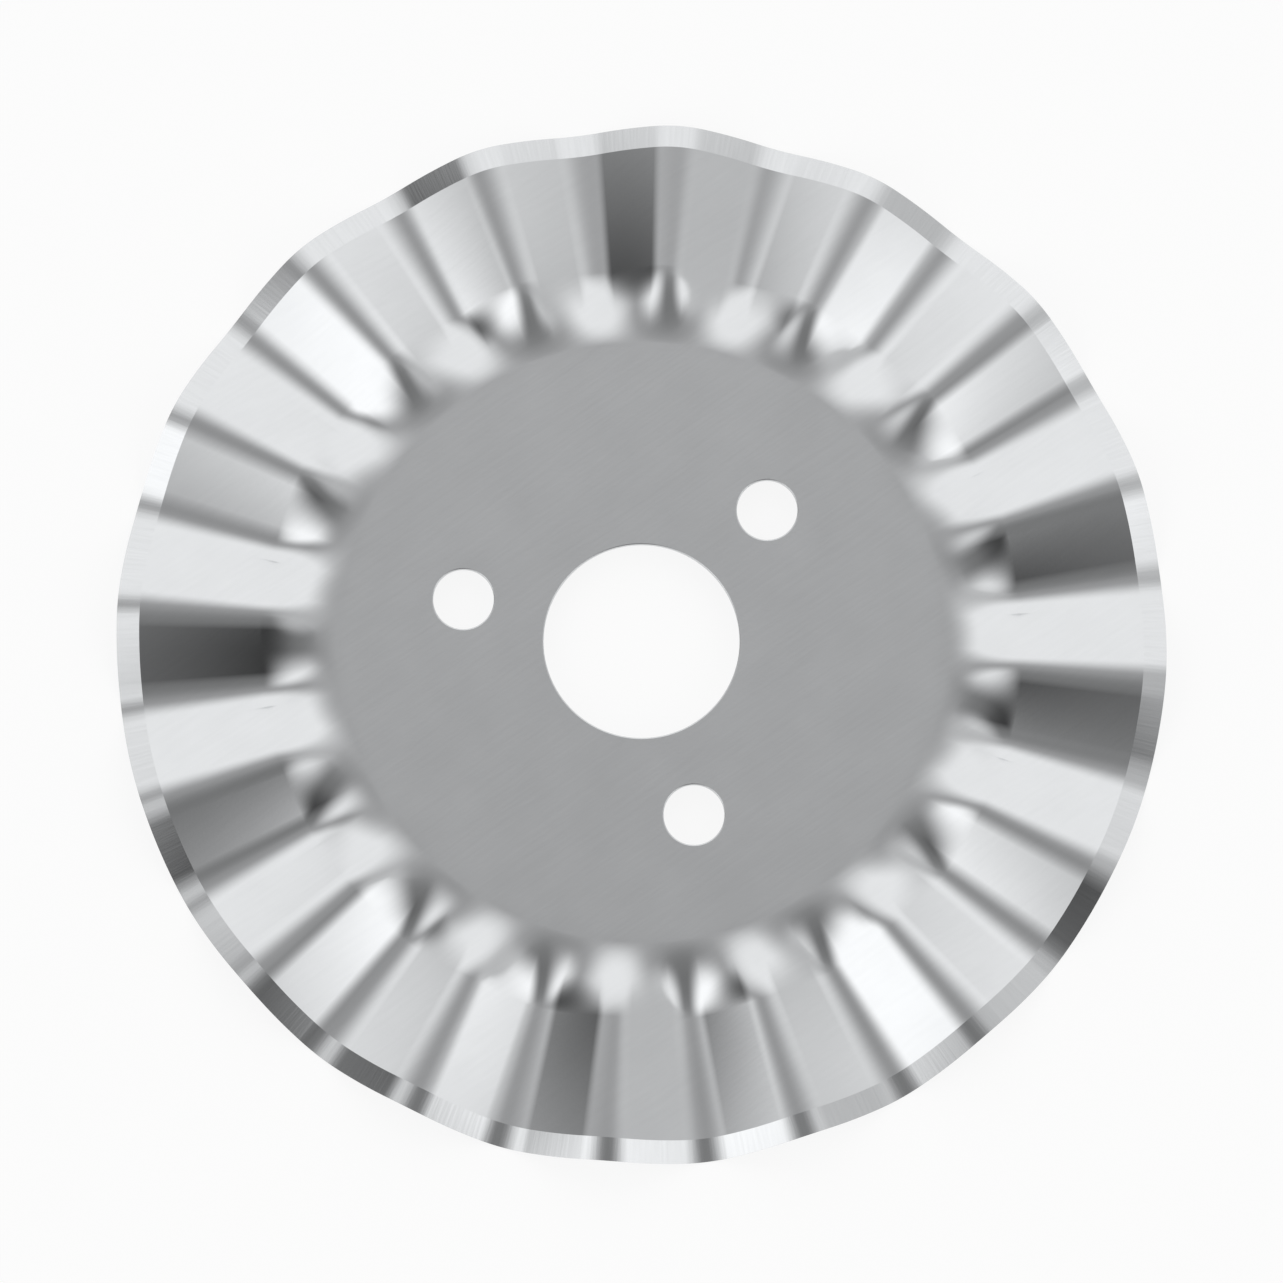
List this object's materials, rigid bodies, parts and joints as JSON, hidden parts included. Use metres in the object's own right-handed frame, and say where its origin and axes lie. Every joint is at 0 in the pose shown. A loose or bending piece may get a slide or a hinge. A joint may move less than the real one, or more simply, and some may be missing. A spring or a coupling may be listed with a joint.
{
  "type": "rotary cutter blade",
  "caption": "Thin round steel cutter blade with a crimped zigzag rim ground to a cutting edge, a central bore and small locating holes in its flat centre.",
  "frame": {"origin": "centre of the bore at half the thickness of the flat centre", "axes": "+Z along the bore axis, out of the side whose rim is ground; +X and +Y in the plane of the flat centre, as right and up in the picture"},
  "size_m": [0.045, 0.045, 0.0019],
  "materials": {
    "blade_steel": "satin flat centre, polished rim"
  },
  "bodies": {
    "root": {"crimped_blade": "blade_steel"}
  },
  "joints": []
}
